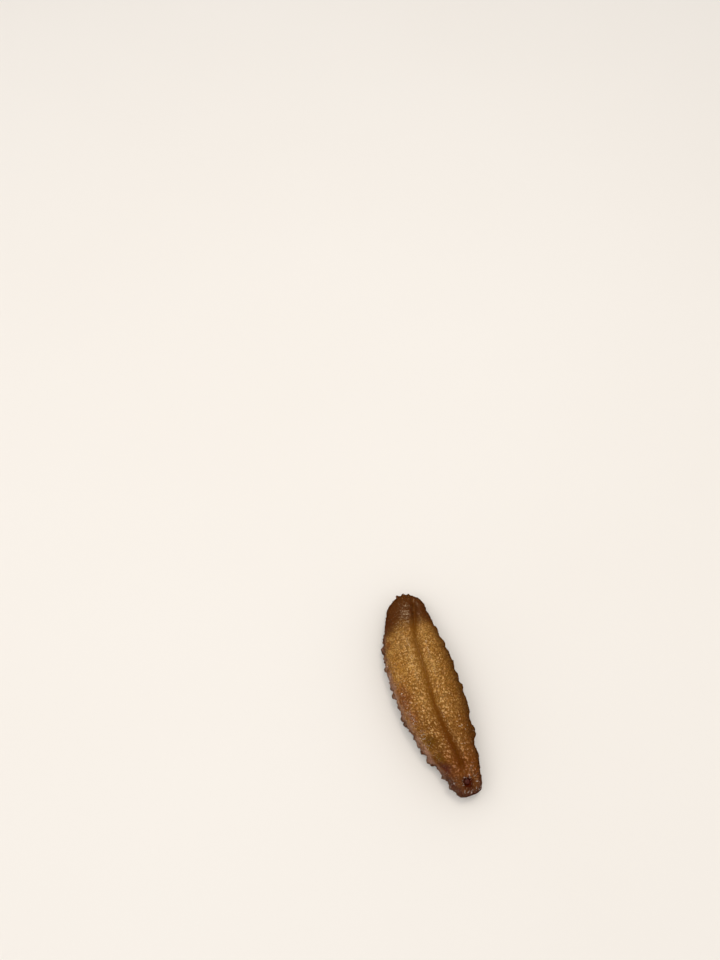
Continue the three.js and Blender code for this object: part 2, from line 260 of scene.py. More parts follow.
def trunk_point(u, degrees):
    """Points on the bare trunk, in the trunk's own frame."""
    u, degrees = np.broadcast_arrays(np.asarray(u, float), np.asarray(degrees, float))
    closing = tip_closing(u)
    c, s = np.cos(radians(degrees)), np.sin(radians(degrees))
    rounded_c = np.sign(c) * np.abs(c) ** (2 / SECTION_POWER)
    rounded_s = np.sign(s) * np.abs(s) ** (2 / SECTION_POWER)
    folded = closing * np.where(c < 0, fold_depth(u, -1), fold_depth(u, 1)) * c * c
    y = (curve(HALF_WIDTH, u) * closing - folded) * rounded_c
    z = curve(MID_HEIGHT, u) + curve(HALF_HEIGHT, u) * closing * rounded_s
    z = z - np.where(s > 0, closing * s * slit_drop(u, y - curve(SLIT_Y, u) * closing), 0)
    return np.stack([along_x(u), y + curve(CENTRE_Y, u), np.maximum(z, BACK_HEIGHT)], axis=-1)


def unit(vector):
    return vector / np.linalg.norm(vector, axis=-1, keepdims=True)


def trunk_normal(u, degrees):
    du, da = 0.004, 2
    along = trunk_point(u + du, degrees) - trunk_point(u - du, degrees)
    around = trunk_point(u, degrees + da) - trunk_point(u, degrees - da)
    return unit(np.cross(around, along))


def mouth_axis():
    tilt = radians(MOUTH["tilt"])
    return trunk_point(MOUTH["u"], MOUTH["angle"]), np.array([np.sin(tilt), 0, np.cos(tilt)])


def vent_axis():
    point = [along_x(0), float(curve(CENTRE_Y, 0)), float(curve(MID_HEIGHT, 0)) - VENT["drop"]]
    return np.array(point), np.array([-1.0, 0, 0])


def margin_bumps(bumps):
    """The same as flank_papillae, for bumps that are given one by one."""
    for place, degrees, radius, height in bumps:
        direction = trunk_normal(place, degrees)
        direction[2] *= FLANK_RISE
        yield trunk_point(place, degrees), unit(direction), radius, height


def flank_papillae():
    """Root, direction, radius and height of each papilla, drawn as the solids draw them."""
    draw = stream(PAPILLA_SEED)

    def either(most):
        return most * (2 * next(draw) - 1)

    for angle, pitch, start, end, radius, height, shift in PAPILLA_ROWS:
        step = pitch / LENGTH
        u = start + shift * step
        while u < end:
            place = u + either(PAPILLA_VARY["along"] * step)
            degrees = angle + either(PAPILLA_VARY["degrees"])
            swell = PAPILLA_SIZE_AT_TIPS + (1 - PAPILLA_SIZE_AT_TIPS) * math.sin(math.pi * place)
            size = swell * (1 + either(PAPILLA_VARY["size"]))
            direction = trunk_normal(place, degrees)
            if abs(math.cos(radians(degrees))) > math.cos(radians(FLANK_REACH)):
                direction[2] *= FLANK_RISE
            yield trunk_point(place, degrees), unit(direction), radius * size, height * size
            u += step
    yield from margin_bumps(LONE_PAPILLAE)


def ring_papillae(axis, look):
    """The same for a ring of small papillae about a pore."""
    point, direction = axis
    draw = stream(PAPILLA_SEED + look["count"])
    side = unit(np.cross([0, 1, 0], direction))
    across = np.cross(direction, side)
    for i in range(look["count"]):
        angle = 2 * math.pi * (i + 0.3 * next(draw)) / look["count"]
        outward = side * math.cos(angle) + across * math.sin(angle)
        root = point + outward * look["ring"] - direction * look["sink"]
        leaning = unit(outward + direction * look["rise"])
        yield root, leaning, look["radius"], look["height"] * (0.8 + 0.4 * next(draw))


def warts():
    """Small soft warts between the papillae of the flanks and the back."""
    rng = np.random.default_rng(WARTS["seed"])
    for _ in range(WARTS["count"]):
        place = rng.uniform(*WARTS["u"])
        degrees = rng.uniform(*WARTS["degrees"])
        share = rng.uniform(0, 1)
        sizes = (WARTS["radius"], WARTS["height"])
        radius, height = (low + (high - low) * share for low, high in sizes)
        yield trunk_point(place, degrees), trunk_normal(place, degrees), radius, height


def ring_places():
    """Places along the trunk for rings that lie evenly over the skin, also round both tips."""
    u = 0.5 - 0.5 * np.cos(np.pi * np.linspace(0, 1, 20001))
    width = curve(HALF_WIDTH, u) * tip_closing(u)
    length = np.concatenate([[0], np.cumsum(np.hypot(np.diff(along_x(u)), np.diff(width)))])
    return np.interp(np.linspace(0, length[-1], ROWS + 1), length, u)


def skin_grid():
    """The bare trunk as rings of places, each starting at the slit and crowded beside it."""
    u = ring_places()
    slit = np.degrees(np.arccos(curve(SLIT_Y, u) / curve(HALF_WIDTH, u)))
    t = np.arange(AROUND) / AROUND
    turn = t - SLIT_CROWDING * np.sin(2 * np.pi * t) / (2 * np.pi)
    degrees = slit[:, None] + 360 * turn[None, :]
    return np.repeat(u[:, None], AROUND, axis=1), degrees


def grid_normals(points):
    """The directions that point out of a grid of rings, straight out at both tips."""
    along = np.gradient(points, axis=0)
    around = np.roll(points, -1, axis=1) - np.roll(points, 1, axis=1)
    normals = np.cross(around, along)
    length = np.linalg.norm(normals, axis=-1, keepdims=True)
    normals = normals / np.maximum(length, 1e-9)
    normals[0] = [-1, 0, 0]
    normals[-1] = [1, 0, 0]
    return normals


def perlin(points, size, shift):
    scaled = (points / size + shift).reshape(-1, 3)
    return np.array([noise.noise(p) for p in scaled.tolist()]).reshape(points.shape[:-1])


def lengths(points):
    """How far each point lies along the skin from the vent tip and round it from the slit."""
    along = np.zeros(points.shape[:2])
    along[1:] = np.cumsum(np.linalg.norm(np.diff(points, axis=0), axis=-1), axis=0)
    step = np.linalg.norm(np.roll(points, -1, axis=1) - points, axis=-1)
    whole = step.sum(axis=1, keepdims=True)
    across = np.cumsum(step, axis=1) - step
    across = np.where(across > whole / 2, across - whole, across)
    return along, across, whole / 2 - np.abs(across)


def grains(along, across, look):
    """Rounded grains in rows across the body: their height, and a share of their own for each one."""
    rows, columns = GRAIN_TABLE
    table = np.random.default_rng(look["seed"]).random((rows, columns, 4))
    cell_along, cell_across = look["cell"]
    row = np.floor(along / cell_along).astype(int)
    column = np.floor(across / cell_across).astype(int)
    top, own = np.zeros(along.shape), np.zeros(along.shape)
    for i in (-1, 0, 1):
        for j in (-1, 0, 1):
            draw = table[(row + i) % rows, (column + j) % columns]
            stray = 0.5 + GRAIN_STRAY * (draw - 0.5)
            middle_along = (row + i + stray[..., 0]) * cell_along
            middle_across = (column + j + stray[..., 1]) * cell_across
            size = GRAIN_LEAST + (1 - GRAIN_LEAST) * draw[..., 2]
            away = np.hypot(along - middle_along, across - middle_across)
            height = size * np.maximum(1 - (away / (look["radius"] * size)) ** 2, 0)
            own = np.where(height > top, draw[..., 3], own)
            top = np.maximum(top, height)
    return top, own


def patch(u, degrees, entries, ragged):
    """Soft-edged patches, 0 to 1, made ragged by a noise."""
    found = np.zeros(u.shape)
    for place, angle, reach, turn, strength in entries:
        away = ((u - place) / reach) ** 2 + ((degrees - angle) / turn) ** 2
        found = np.maximum(found, strength * np.exp(-away * np.maximum(1 + 1.2 * ragged, 0.4)))
    return found


def rounded_cone(t):
    """A soft cone's height at a share t of its radius."""
    t = np.clip(t, 0, 1)
    return (1 - t * t) ** CONE_POWER


def axis_places(points, axis):
    """Where points lie by an axis: height above its foot, distance from it and the turn round it."""
    point, direction = axis
    side = unit(np.cross([0, 1, 0], direction))
    offset = points - point
    a, b = offset @ side, offset @ np.cross(direction, side)
    return offset @ direction, np.hypot(a, b), np.arctan2(b, a)


def pucker(points, axis, look):
    """Folds that run in towards a pore, strongest just outside it."""
    inner, outer = look["inner"], look["outer"]
    rise, distance, turn = axis_places(points, axis)
    near = smooth(0.4 * inner, inner, distance) * (1 - smooth(inner, outer, distance))
    wander = 2.2 * np.sin(3 * turn) + 1.2 * np.sin(1.3 * distance)
    return look["height"] * near * np.cos(look["count"] * turn + wander) * (np.abs(rise) < outer)


def raise_papilla(points, bare, tips, papilla, spread=PAPILLA_SPREAD):
    """Draws one papilla out of the skin, and marks how near its tip each point is."""
    root, direction, radius, height = papilla
    reach = radius * spread
    rows = np.flatnonzero(np.abs(bare[:, 0, 0] - root[0]) < reach)
    if not len(rows):
        return
    part = slice(rows[0], rows[-1] + 1)
    share = np.linalg.norm(bare[part] - root, axis=-1) / reach
    lift = rounded_cone(share)
    points[part] += (lift * height)[..., None] * direction
    tips[part] = np.maximum(tips[part], lift)


def pore_profile(look):
    """A pore from the middle of its floor to its rim: the distance from its axis and the depth."""
    throat = look["throat"] - SNUG
    turn = np.linspace(0, np.pi / 2, PORE_STEPS)
    flare = look["radius"] - (look["radius"] - throat) * np.cos(turn)
    distance = np.concatenate([[0, throat], flare, [look["radius"] * PORE_RIM]])
    depth = np.concatenate([[look["depth"]] * 2, look["flare"] * (1 - np.sin(turn)), [0]])
    return distance, depth


def sink_pore(points, axis, look):
    """Draws a pore into the skin, a throat that flares outwards, and returns a mask of it."""
    point, direction = axis
    profile_r, profile_d = pore_profile(look)
    reach = profile_r[-1]
    arc = np.concatenate([[0], np.cumsum(np.hypot(np.diff(profile_r), np.diff(profile_d)))])
    height, distance, angle = axis_places(points, axis)
    ragged = 1 + sum(size * np.cos(count * angle + turn) for size, count, turn in PORE_RAGGED)
    near = np.abs(height) < 2 * look["radius"]
    inside = (distance < reach) & near
    place = distance[inside] / reach * arc[-1]
    r, d = np.interp(place, arc, profile_r), np.interp(place, arc, profile_d)
    r = r * (1 + (ragged[inside] - 1) * (1 - smooth(0.5, 1, r / reach)))
    radial = points[inside] - point - height[inside][:, None] * direction
    outward = radial / np.maximum(distance[inside], 1e-6)[:, None]
    points[inside] = point + outward * r[:, None] + direction * (height[inside] - d)[:, None]
    distance[inside] = r
    # The mask carries the pore's dark red, partly painted shade in the dimple.
    return near * np.exp(-((distance / look["radius"] / PORE_RED_AND_SHADE_REACH / ragged) ** 4))


def centre_shift():
    """How far the solids' frame lies from the trunk's own, read from nodes whose place is known."""
    low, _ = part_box("fore_trunk")
    ring_low, ring_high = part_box("tentacle_ring")
    x = low.x / MM - (along_x(FORE_CUT) + GAP / 2)
    y = (ring_low.y + ring_high.y) / 2 / MM - mouth_axis()[0][1]
    return np.array([x, y, 0])


class Skin:
    """The bare skin, point by point, with what its relief and its colours are worked out from."""

    def __init__(self):
        self.u, self.degrees = skin_grid()
        self.bare = trunk_point(self.u, self.degrees)
        self.normals = grid_normals(self.bare)
        self.upward = np.sin(radians(self.degrees))
        slit_y = curve(CENTRE_Y, self.u) + curve(SLIT_Y, self.u) * tip_closing(self.u)
        self.from_slit = self.bare[..., 1] - slit_y
        self.share = lip_share(self.u, self.from_slit)
        self.lumps = perlin(self.bare, LUMPS["size"], LUMPS["shift"])
        self.small_lumps = perlin(self.bare, SMALL_LUMPS["size"], SMALL_LUMPS["shift"])
        self.rounding = self.upward + 0.15 * self.small_lumps
        crease_reach = np.where(self.from_slit < 0, CREASE_REACH[-1], CREASE_REACH[1])
        self.crease = self.slit_band(crease_reach)
        self.seam = self.slit_band(SEAM_SHADE_REACH)
        along, across, self.from_closing = lengths(self.bare)
        size, reach = GRAIN_WARP["size"], GRAIN_WARP["reach"]
        along = along + reach * perlin(self.bare, size, GRAIN_WARP["shift_along"])
        across = across + reach * perlin(self.bare, size, GRAIN_WARP["shift_across"])
        self.coarse, self.coarse_own = grains(along, across, GRAINS)
        self.fine, self.fine_own = grains(along, across, FINE_GRAINS)

    def slit_band(self, reach):
        """A band along the slit, 1 on its line and fading over a reach."""
        return slit_fade(self.u) * np.exp(-((self.from_slit / reach) ** 2)) * (self.upward > 0)


def skin_relief(skin):
    """How far the skin stands out of the bare trunk, before papillae and pores are drawn."""
    u, bare = skin.u, skin.bare
    from_mouth = 1 - u
    belly = smooth(0.05, 0.6, skin.rounding + 0.3 * skin.lumps)
    wrinkle_height = WRINKLES["back"] + (WRINKLES["belly"] - WRINKLES["back"]) * belly
    wander = END_WANDER["radians"] * perlin(bare, END_WANDER["size"], END_WANDER["shift"])
    end_turn = radians(skin.degrees) * END_FOLDS["count"] + wander
    calm_tips = smooth(0, TIP_CALM, u) * smooth(0, TIP_CALM, from_mouth)
    calm = calm_tips * smooth(0, CLOSING_CALM, skin.from_closing)
    end = smooth(0, END_FOLDS["fade"], u - END_FOLDS["start"])
    face = (1 - smooth(TIP_CALM, FACE_START, from_mouth)) * smooth(0, FACE_CALM, from_mouth)

    relief = LUMPS["height"] * skin.lumps + SMALL_LUMPS["height"] * skin.small_lumps
    relief += wrinkle_height * perlin(bare, WRINKLES["size"], WRINKLES["shift"])
    relief += pucker(bare, mouth_axis(), PUCKERS["mouth"]) + pucker(bare, vent_axis(), PUCKERS["vent"])
    relief += END_FOLDS["height"] * end * np.cos(end_turn)
    relief += calm * (GRAINS["height"] * skin.coarse + FINE_GRAINS["height"] * skin.fine)
    relief *= calm_tips * (1 - SLIT_CALM * skin.crease)
    folds = np.abs(perlin(bare, FACE_FOLDS["size"], FACE_FOLDS["shift"]))
    return relief + face * FACE_FOLDS["height"] * folds


def draw_features(skin, points):
    """Draws papillae, warts and pores into the skin, and returns masks of their tips and the pores."""
    for swelling in margin_bumps(SWELLINGS):
        raise_papilla(points, skin.bare, np.zeros(skin.u.shape), swelling)
    tips = np.zeros(skin.u.shape)
    for papilla in [*flank_papillae(), *warts()]:
        raise_papilla(points, skin.bare, tips, papilla)
    for axis, look in ((mouth_axis(), ORAL_PAPILLAE), (vent_axis(), ANAL_PAPILLAE)):
        for papilla in ring_papillae(axis, look):
            raise_papilla(points, skin.bare, tips, papilla, spread=RING_SPREAD)
    mouth = sink_pore(points, mouth_axis(), MOUTH)
    vent = sink_pore(points, vent_axis(), VENT)
    return tips, np.maximum(mouth, vent)


def colour_masks(skin, tips, pores):
    """Where each colour of the skin goes, point by point."""
    u, share, upward = skin.u, skin.share, skin.upward
    # Pale grain tops, partly the grains' own paler colour and partly painted glints, strongest on the
    # lit crests.
    lit = np.exp(-(((share + 0.05) / 0.62) ** 4)) * (upward > 0)
    fleck_and_glint = 0.85 * smooth(0.15, 0.5, skin.coarse) * skin.coarse_own
    fleck_and_glint += 0.3 * smooth(0.1, 0.6, skin.fine) * skin.fine_own
    fleck_and_glint_share = 0.75 + 0.25 * smooth(0.12, 0.35, u) + 0.35 * smooth(0.68, 0.82, u)
    # How strong the seam's painted shade is along the trunk.
    seam_shade_share = 0.35 + 0.65 * smooth(0.45, 0.6, u) + 0.4 * smooth(0.22, 0.16, u)
    # A dark line along the margins: partly the margin's own darker skin, partly painted shade where the
    # flanks turn away.
    dark_edge_and_shade = smooth(0.6, 0.95, share) + smooth(0.85, 1.0, 0.12 * skin.small_lumps - share)
    masks = {
        "up": skin.rounding + 0.25 * skin.lumps,
        "facing": skin.normals[..., 2],
        "crease": skin.crease,
        "seam": skin.seam * seam_shade_share,
        "tip": tips,
        "pore": pores,
        "grain": np.maximum(skin.coarse, 0.6 * skin.fine),
        "fleck_and_glint": fleck_and_glint * (0.3 + 0.7 * lit) * fleck_and_glint_share,
        # Darker towards the lips' outer parts: partly their own browner tone, partly painted shade
        # where they round away.
        "outer": smooth(0.25, 0.7, share) * (upward > 0),
        "dark_edge_and_shade": dark_edge_and_shade * smooth(-0.3, 0.1, upward),
        "left": smooth(0, 0.4, -np.cos(radians(skin.degrees))),
        "along": u,
    }
    for name, entries in PATCHES.items():
        masks[name] = patch(u, skin.degrees % 360, entries, skin.small_lumps)
    return masks


def skin_surface():
    """All points of the skin in the trunk's frame, with the masks that its colours use."""
    skin = Skin()
    points = skin.bare + skin.normals * skin_relief(skin)[..., None]
    tips, pores = draw_features(skin, points)
    points[..., 2] = np.maximum(points[..., 2], 0)
    return points, colour_masks(skin, tips, pores)


def smooth_mesh(name, vertices, faces):
    mesh = bpy.data.meshes.new(name)
    mesh.from_pydata(vertices, [], faces)
    mesh.polygons.foreach_set("use_smooth", np.ones(len(mesh.polygons), bool))
    return mesh


def skin_mesh(points, masks):
    """Closes the rings at both tips and lays the grid out on an even map."""
    count = points.shape[0] - 2
    body = points[1:-1].reshape(-1, 3)
    vertices = np.concatenate([body, points[0, :1], points[-1, :1]]) * MM

    def vertex(ring, column):
        inside = ring * AROUND + np.floor(column).astype(int) % AROUND
        return np.where(ring < 0, len(body), np.where(ring == count, len(body) + 1, inside))

    def on_map(ring, column):
        return np.stack([column / AROUND, (ring + 1) / (count + 1)], axis=-1)

    # Each kind of face by its corners, as rings and columns. The tips count as a ring of their own.
    ring, column = np.meshgrid(np.arange(count - 1), np.arange(AROUND), indexing="ij")
    ring, column = ring.ravel(), column.ravel()
    first = np.arange(AROUND)
    lowest, highest = np.zeros(AROUND, int), np.full(AROUND, count - 1)
    kinds = (
        [(ring, column), (ring, column + 1), (ring + 1, column + 1), (ring + 1, column)],
        [(lowest - 1, first + 0.5), (lowest, first + 1), (lowest, first)],
        [(highest + 1, first + 0.5), (highest, first), (highest, first + 1)],
    )
    faces, corners = [], []
    for kind in kinds:
        faces += np.stack([vertex(*corner) for corner in kind], axis=-1).tolist()
        corners.append(np.stack([on_map(*corner) for corner in kind], axis=1).reshape(-1, 2))

    mesh = smooth_mesh("skin", vertices.tolist(), faces)
    for name, mask in masks.items():
        values = np.concatenate([mask[1:-1].ravel(), mask[0, :1], mask[-1, :1]])
        attribute = mesh.attributes.new(name, "FLOAT", "POINT")
        attribute.data.foreach_set("value", values.astype(np.float32))
    uv = mesh.uv_layers.new(name="OFBake")
    uv.data.foreach_set("uv", np.concatenate(corners).astype(np.float32).ravel())
    mesh.update()
    return mesh


def circle_point(radius, side, height):
    turn = 2 * math.pi * side / TENTACLE_SIDES
    return np.array([radius * math.cos(turn), radius * math.sin(turn), height])


def tentacle_tip():
    """A knobbly rounded tip about its own middle, ring by ring from the top."""
    vertices = []
    for level in range(TENTACLE_LEVELS + 1):
        fall = math.pi * level / TENTACLE_LEVELS
        for side in range(TENTACLE_SIDES):
            turn = 2 * math.pi * side / TENTACLE_SIDES
            knob = 1 + 0.12 * math.cos(5 * turn) * math.sin(fall) * math.sin(4 * fall)
            across = TENTACLE_SWELL * TENTACLES["lobe"] * knob * math.sin(fall)
            height = TENTACLES["lobe_height"] * knob * math.cos(fall)
            vertices.append(circle_point(across, side, height))
    return vertices


def tentacle_stalk():
    base, height = TENTACLES["base"], TENTACLES["base_height"]
    outline = [(0.01, height), (base, height), (base, 0), (0.01, 0)]
    return [circle_point(radius, side, z) for radius, z in outline for side in range(TENTACLE_SIDES)]


def band_faces(start, levels):
    """The faces between rings of vertices that go down one below the other."""
    faces = []
    for level in range(levels):
        for side in range(TENTACLE_SIDES):
            a = start + level * TENTACLE_SIDES + side
            b = start + level * TENTACLE_SIDES + (side + 1) % TENTACLE_SIDES
            faces.append((a, a + TENTACLE_SIDES, b + TENTACLE_SIDES, b))
    return faces


def make_tentacles(shift):
    """The drawn-in tentacles in the mouth: a ring of tips about one more, on a short stalk."""
    point, direction = mouth_axis()
    root = (point + shift + direction * (GAP - MOUTH["depth"])) * MM
    turn = Vector((0, 0, 1)).rotation_difference(Vector(direction)).to_matrix().to_4x4()
    count, ring = TENTACLES["count"], TENTACLES["ring"]
    places = [(ring, 2 * math.pi * i / count) for i in range(count)] + [(0, 0)]
    vertices, faces = [], []
    for out, angle in places:
        middle = np.array([out * math.cos(angle), out * math.sin(angle), TENTACLES["base_height"]])
        faces += band_faces(len(vertices), TENTACLE_LEVELS)
        vertices += [middle + vertex for vertex in tentacle_tip()]
    faces += band_faces(len(vertices), 3)
    vertices += tentacle_stalk()
    mesh = smooth_mesh("tentacles", (np.array(vertices) * MM).tolist(), faces)
    mesh.transform(Matrix.Translation(Vector(root)) @ turn)
    return mesh


def linear(r, g, b):
    """A colour as seen on screen, from 0 to 255, in the shader's own scale."""

    def part(value):
        share = value / 255
        return share / 12.92 if share <= 0.04045 else ((share + 0.055) / 1.055) ** 2.4

    return part(r), part(g), part(b), 1


class Nodes:
    """A short way to write a material's nodes."""

    def __init__(self, name):
        self.material = bpy.data.materials.new(name)
        self.material.use_nodes = True
        self.tree = self.material.node_tree
        self.shader = self.tree.nodes["Principled BSDF"]
        self.shader.distribution = "GGX"
        self.place = self.add("ShaderNodeTexCoord").outputs["Object"]

    def add(self, kind, inputs=(), **settings):
        """A new node with its settings and inputs, which are values or other nodes' outputs."""
        made = self.tree.nodes.new(kind)
        for name, value in settings.items():
            setattr(made, name, value)
        for name, value in dict(inputs).items():
            self.put(made.inputs[name], value)
        return made

    def put(self, socket, value):
        if isinstance(value, bpy.types.NodeSocket):
            self.tree.links.new(value, socket)
        else:
            socket.default_value = value

    def mask(self, name):
        return self.add("ShaderNodeAttribute", attribute_name=name).outputs["Fac"]

    def noise(self, scale, detail=2.0, roughness=0.5):
        inputs = {"Vector": self.place, "Scale": scale, "Detail": detail, "Roughness": roughness}
        return self.add("ShaderNodeTexNoise", inputs).outputs["Fac"]

    def math(self, operation, a, b):
        made = self.add("ShaderNodeMath", operation=operation)
        self.put(made.inputs[0], a)
        self.put(made.inputs[1], b)
        return made.outputs[0]

    def ramp(self, value, low, high, to_low=0.0, to_high=1.0):
        """A smooth step from one value to another while the input goes from low to high."""
        inputs = {"Value": value, "From Min": low, "From Max": high}
        inputs |= {"To Min": to_low, "To Max": to_high}
        return self.add("ShaderNodeMapRange", inputs, interpolation_type="SMOOTHSTEP").outputs["Result"]

    def mix(self, share, a, b):
        """A colour between two, picked by a share. The numbers are its colour sockets."""
        made = self.add("ShaderNodeMix", data_type="RGBA")
        self.put(made.inputs["Factor"], share)
        self.put(made.inputs[6], a)
        self.put(made.inputs[7], b)
        return made.outputs[2]

    def stain(self, tone, name, strength, colour):
        """A colour laid over another where a mask of the skin says."""
        return self.mix(self.math("MULTIPLY", self.mask(name), strength), tone, colour)

    def finish(self, **inputs):
        """Sets the shader's sockets, named with underscores for spaces, and gives the material."""
        for name, value in inputs.items():
            self.put(self.shader.inputs[name.replace("_", " ")], value)
        return self.material


# Colours as seen on screen: the belly first, then flanks and back, slit, papillae, ends and pores.
AMBER = linear(165, 116, 52)
OCHRE = linear(182, 136, 70)
GOLD = linear(190, 136, 56)
# Brown, also used for painted shade on the lips' outer parts and a painted shadow near the vent end.
BROWN_AND_SHADE = linear(122, 74, 18)
OLIVE = linear(104, 68, 8)
RUST = linear(122, 60, 24)
WINE = linear(80, 30, 20)
DEEP = linear(108, 50, 10)
# Pale grain tops, partly their own colour and partly painted glints.
GRAIN_TOP_AND_GLINT = linear(216, 170, 108)
MOUTH_GRAIN_TOP_AND_GLINT = linear(176, 116, 74)
# Painted shade in the gaps between the grains.
GRAIN_GAP_SHADE = linear(90, 50, 10)
FLANK = linear(78, 42, 10)
MAUVE = linear(154, 116, 96)
SKIRT = linear(98, 58, 34)
BACK = linear(50, 31, 24)
DUSK = linear(78, 46, 34)
# Painted shade along the slit: the crease, the crease near the mouth, and the seam at its bottom.
CREASE_SHADE = linear(124, 76, 14)
MOUTH_CREASE_SHADE = linear(102, 48, 8)
SEAM_SHADE = linear(108, 60, 8)
FLANK_TIP = linear(66, 46, 34)
FRINGE = linear(88, 68, 56)
BACK_TIP = linear(40, 25, 21)
END_TIP = linear(84, 64, 48)
END = linear(106, 62, 22)
END_LOW = linear(90, 56, 38)
# The vent end's dark brown: partly its own colour, partly a painted cast shadow.
VENT_END_AND_SHADOW = linear(82, 42, 14)
# The pores' dark red, partly painted shade; the throat deeper in is painted lighter to offset its
# shadow.
MOUTH_RED_AND_SHADE = linear(62, 15, 2)
THROAT_PAINTED_LIGHT = linear(104, 34, 16)
TENTACLE_DARK = linear(70, 26, 15)
TENTACLE_PALE = linear(108, 52, 42)
FLOOR_DARK = linear(238, 234, 229)
FLOOR_PALE = linear(241, 238, 234)


def belly_tone(n):
    """Amber mottled with ochre, olive and rust, darker towards the mouth, with pale grain tops that are
    partly painted glints, and painted shade between the grains, on the lips' outer parts and towards
    the vent end.
    """
    along = n.mask("along")
    tone = n.mix(n.ramp(n.noise(110, 3), 0.38, 0.62), AMBER, OCHRE)
    tone = n.mix(n.ramp(n.noise(75, 2), 0.52, 0.75, 0, 0.4), tone, OLIVE)
    tone = n.mix(n.ramp(n.noise(140, 3), 0.55, 0.75, 0, 0.4), tone, RUST)
    tone = n.stain(tone, "gold", 0.4, GOLD)
    # A painted cast shadow towards the vent end.
    tone = n.stain(tone, "painted_vent_shade", 0.5, BROWN_AND_SHADE)
    # The lips' outer parts, partly browner of their own, partly painted shade.
    tone = n.stain(tone, "outer", 0.6, BROWN_AND_SHADE)
    tone = n.mix(n.ramp(along, 0.48, 0.95, 0, 0.8), tone, DEEP)
    tone = n.stain(tone, "olive", 0.95, OLIVE)
    tone = n.stain(tone, "rust", 0.85, RUST)
    # Painted shade in the gaps between the grains.
    tone = n.mix(n.ramp(n.mask("grain"), 0.0, 0.35, 0.6, 0), tone, GRAIN_GAP_SHADE)
    # Pale grain tops, partly painted glints.
    grain_top_and_glint = n.mix(n.ramp(along, 0.7, 0.9), GRAIN_TOP_AND_GLINT, MOUTH_GRAIN_TOP_AND_GLINT)
    fleck_and_glint = n.math("MULTIPLY", n.mask("fleck_and_glint"), n.ramp(n.mask("olive"), 0.2, 1, 1, 0.4))
    return n.mix(n.ramp(fleck_and_glint, 0.0, 0.9, 0, 0.7), tone, grain_top_and_glint)


def add_flanks(n, tone):
    """Lays the flanks and the back round the belly's tone: brown, and mauve on the wide lip's side,
    with a dark margin line that is partly the margin's own darker skin and partly painted shade.
    """
    up = n.mask("up")
    mottled = n.mix(n.ramp(n.noise(380, 4), 0.25, 0.55), SKIRT, MAUVE)
    flank = n.mix(n.mask("left"), FLANK, mottled)
    side = n.mix(n.ramp(up, -0.75, -0.3), BACK, SKIRT)
    side = n.mix(n.ramp(up, -0.3, 0.2), side, flank)
    tone = n.mix(n.ramp(up, -0.05, 0.35), side, tone)
    # Dark margin line, partly painted shade.
    tone = n.stain(tone, "dark_edge_and_shade", 0.75, flank)
    tone = n.stain(tone, "dark", 0.85, DUSK)
    return n.stain(tone, "wine", 0.85, WINE)


def add_ends(n, tone):
    """Lays the browns of both ends over a tone, the vent end's with a ragged border and partly a
    painted cast shadow.
    """
    along = n.mask("along")
    end_low = n.mix(n.ramp(n.noise(420, 4), 0.35, 0.65, 0.5, 1), WINE, END_LOW)
    end = n.mix(n.ramp(n.mask("facing"), 0.55, 0.95), end_low, END)
    tone = n.mix(n.ramp(along, 0.9, 0.97), tone, end)
    ragged_along = n.math("ADD", along, n.ramp(n.noise(170, 3), 0.2, 0.8, -0.03, 0.03))
    return n.mix(n.ramp(ragged_along, 0.23, 0.12, 0, 0.95), tone, VENT_END_AND_SHADOW)


def add_slit(n, tone):
    """Paints shade into the slit: a wide soft crease and a narrow dark seam in it."""
    along = n.mask("along")
    crease = n.mix(n.ramp(along, 0.55, 0.78), CREASE_SHADE, MOUTH_CREASE_SHADE)
    # Towards the vent end the crease takes its dark brown, partly a painted cast shadow.
    crease = n.mix(n.ramp(along, 0.2, 0.12), crease, VENT_END_AND_SHADOW)
    tone = n.stain(tone, "crease", 0.85, crease)
    return n.stain(tone, "seam", 0.8, SEAM_SHADE)


def add_tips(n, tone):
    """Darkens the tips of papillae and warts, least on the belly."""
    up = n.mask("up")
    fringe = n.mix(n.mask("left"), FLANK, FRINGE)
    tip = n.mix(n.ramp(up, -0.85, -0.6), BACK_TIP, FLANK_TIP)
    tip = n.mix(n.ramp(up, -0.7, -0.4), tip, fringe)
    tip = n.mix(n.ramp(n.mask("along"), 0.8, 0.9), tip, END_TIP)
    near_tip = n.ramp(n.mask("tip"), 0.2, 0.85, 0, 0.75)
    share = n.math("MULTIPLY", near_tip, n.ramp(up, 0.6, 0.2, 0.25, 1))
    return n.mix(share, tone, tip)


def skin_material():
    n = Nodes("wet_skin")
    tone = belly_tone(n)
    for add in (add_flanks, add_ends, add_slit, add_tips):
        tone = add(n, tone)
    # The pores' dark red, partly painted shade, turns lighter deep in the throat as painted light
    # against its shadow.
    pore = n.mask("pore")
    tone = n.mix(pore, tone, n.mix(n.ramp(pore, 0.88, 0.94), MOUTH_RED_AND_SHADE, THROAT_PAINTED_LIGHT))
    fine = n.add("ShaderNodeTexVoronoi", {"Vector": n.place, "Scale": 4200.0}).outputs["Distance"]
    bump = n.add("ShaderNodeBump", {"Height": fine, "Strength": 0.3, "Distance": 0.00005}, invert=True)
    return n.finish(
        Base_Color=tone,
        Roughness=n.ramp(n.noise(900, 2), 0.3, 0.7, 0.1, 0.2),
        Specular_IOR_Level=0.5,
        Subsurface_Weight=0.2,
        Subsurface_Radius=(1.0, 0.45, 0.2),
        Subsurface_Scale=0.001,
        Normal=bump.outputs["Normal"],
    )


